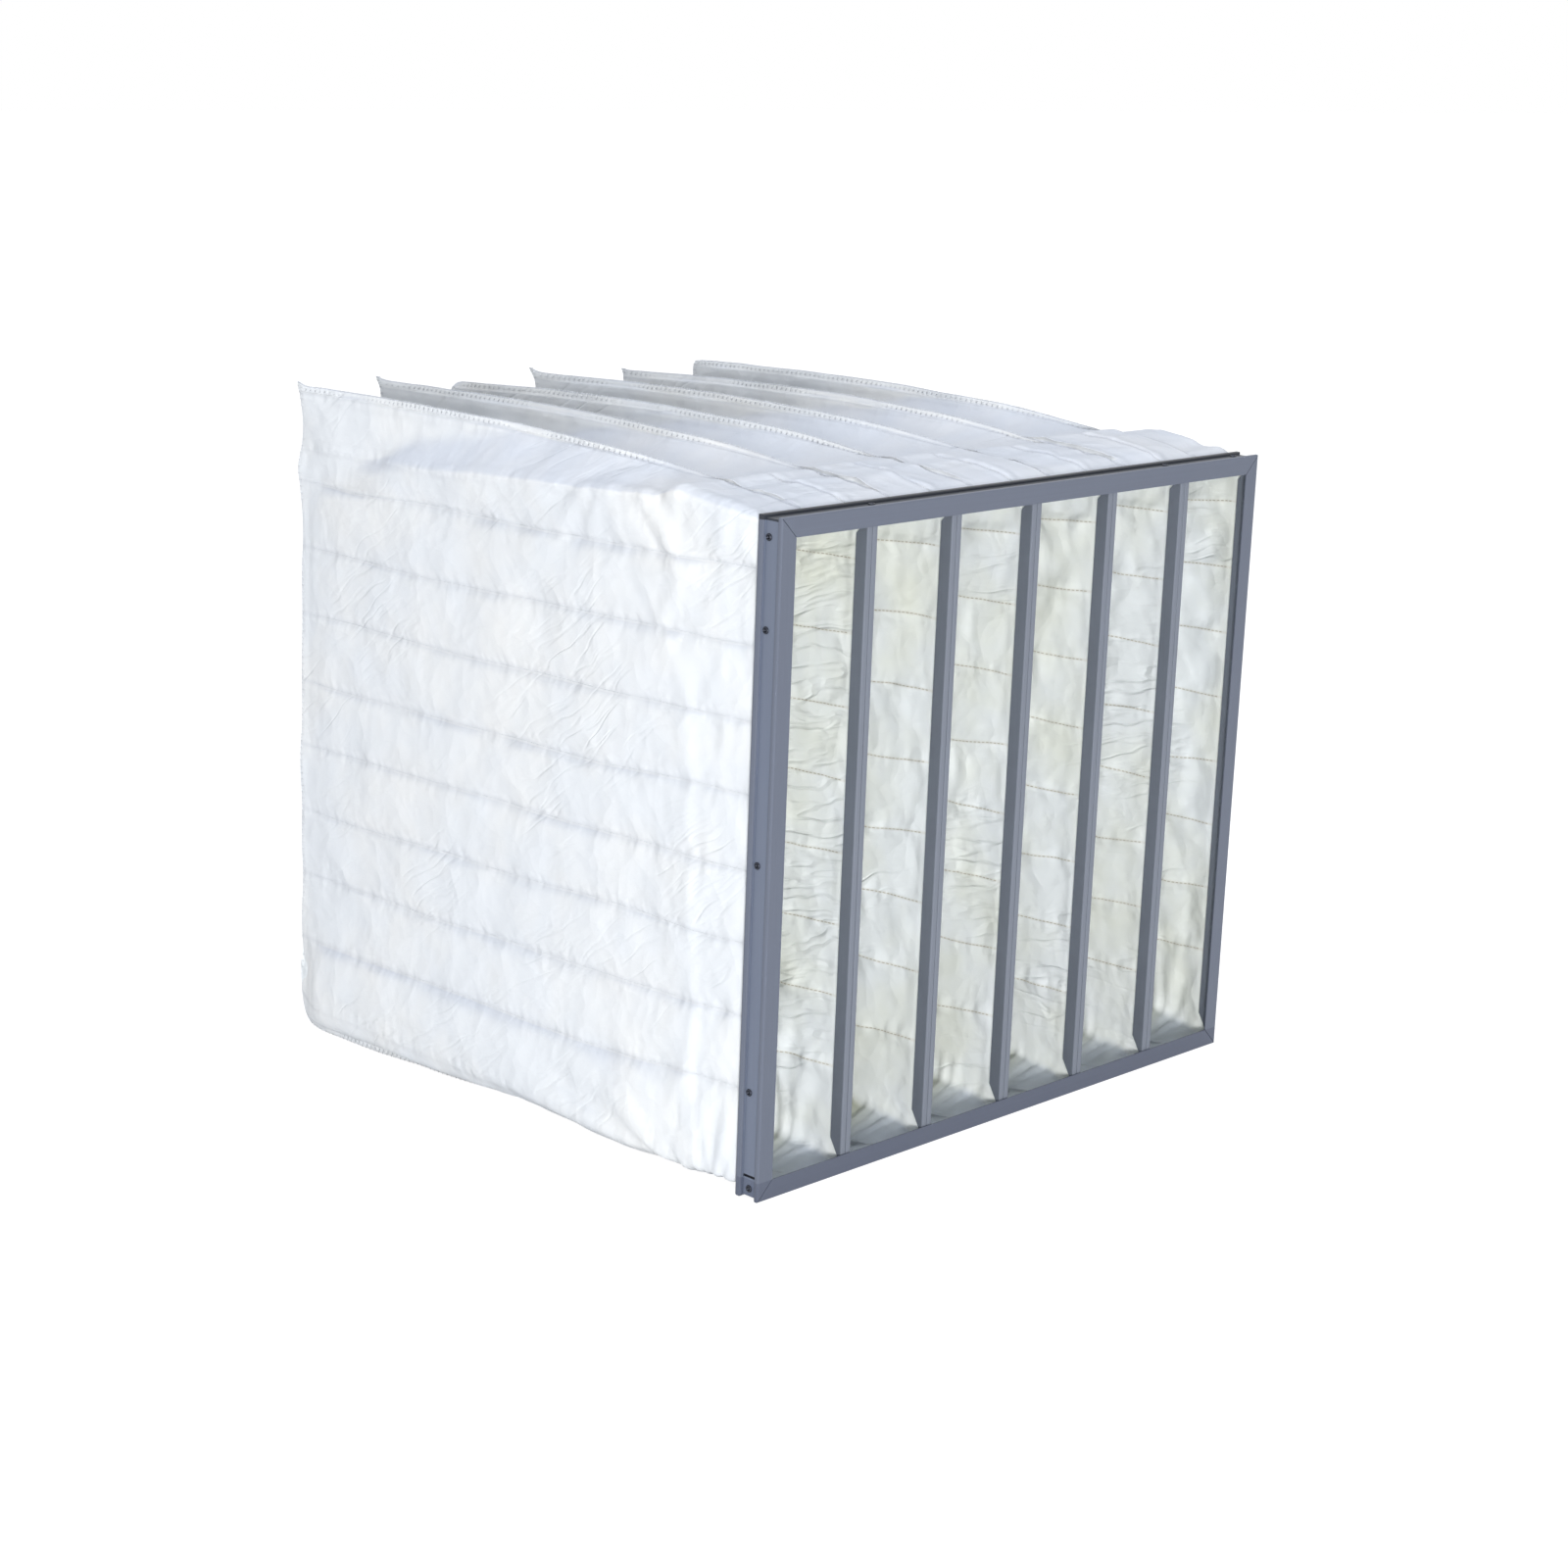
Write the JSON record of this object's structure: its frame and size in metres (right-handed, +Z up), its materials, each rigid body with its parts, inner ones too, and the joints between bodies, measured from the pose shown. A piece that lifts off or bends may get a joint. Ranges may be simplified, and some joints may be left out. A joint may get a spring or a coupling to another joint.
{
  "type": "bag air filter",
  "caption": "Bag air filter: a folded metal header frame with channel holders that clamp sewn wedge pockets of cloth, open at the front and closed by a seam at the rear.",
  "frame": {"origin": "on the floor, under the middle of the whole filter's bounding box", "axes": "+Z up, +X to the right seen from the open front, +Y from the header frame towards the closed ends of the pockets; the whole filter leans forward by 2.82 degrees, as it stands in the picture"},
  "size_m": [0.592, 0.6763, 0.5984],
  "materials": {
    "header_aluminium": "satin grey anodised strip",
    "holder_aluminium": "satin grey anodised channel",
    "filter_media": "matte off-white nonwoven",
    "rivet_metal": "bright blind rivet"
  },
  "bodies": {
    "root": {"header_frame": "header_aluminium", "pocket_holder_1": "holder_aluminium", "pocket_holder_2": "holder_aluminium", "pocket_holder_3": "holder_aluminium", "pocket_holder_4": "holder_aluminium", "pocket_holder_5": "holder_aluminium", "pocket_holder_6": "holder_aluminium", "filter_pocket_1": "filter_media", "filter_pocket_2": "filter_media", "filter_pocket_3": "filter_media", "filter_pocket_4": "filter_media", "filter_pocket_5": "filter_media", "filter_pocket_6": "filter_media", "rivet_tab": "rivet_metal", "rivet_left_1": "rivet_metal", "rivet_left_2": "rivet_metal", "rivet_left_3": "rivet_metal", "rivet_left_4": "rivet_metal", "rivet_right_1": "rivet_metal", "rivet_right_2": "rivet_metal", "rivet_right_3": "rivet_metal", "rivet_right_4": "rivet_metal", "rivet_top_1": "rivet_metal", "rivet_top_2": "rivet_metal", "rivet_top_3": "rivet_metal", "rivet_bottom_1": "rivet_metal", "rivet_bottom_2": "rivet_metal", "rivet_bottom_3": "rivet_metal"}
  },
  "joints": []
}
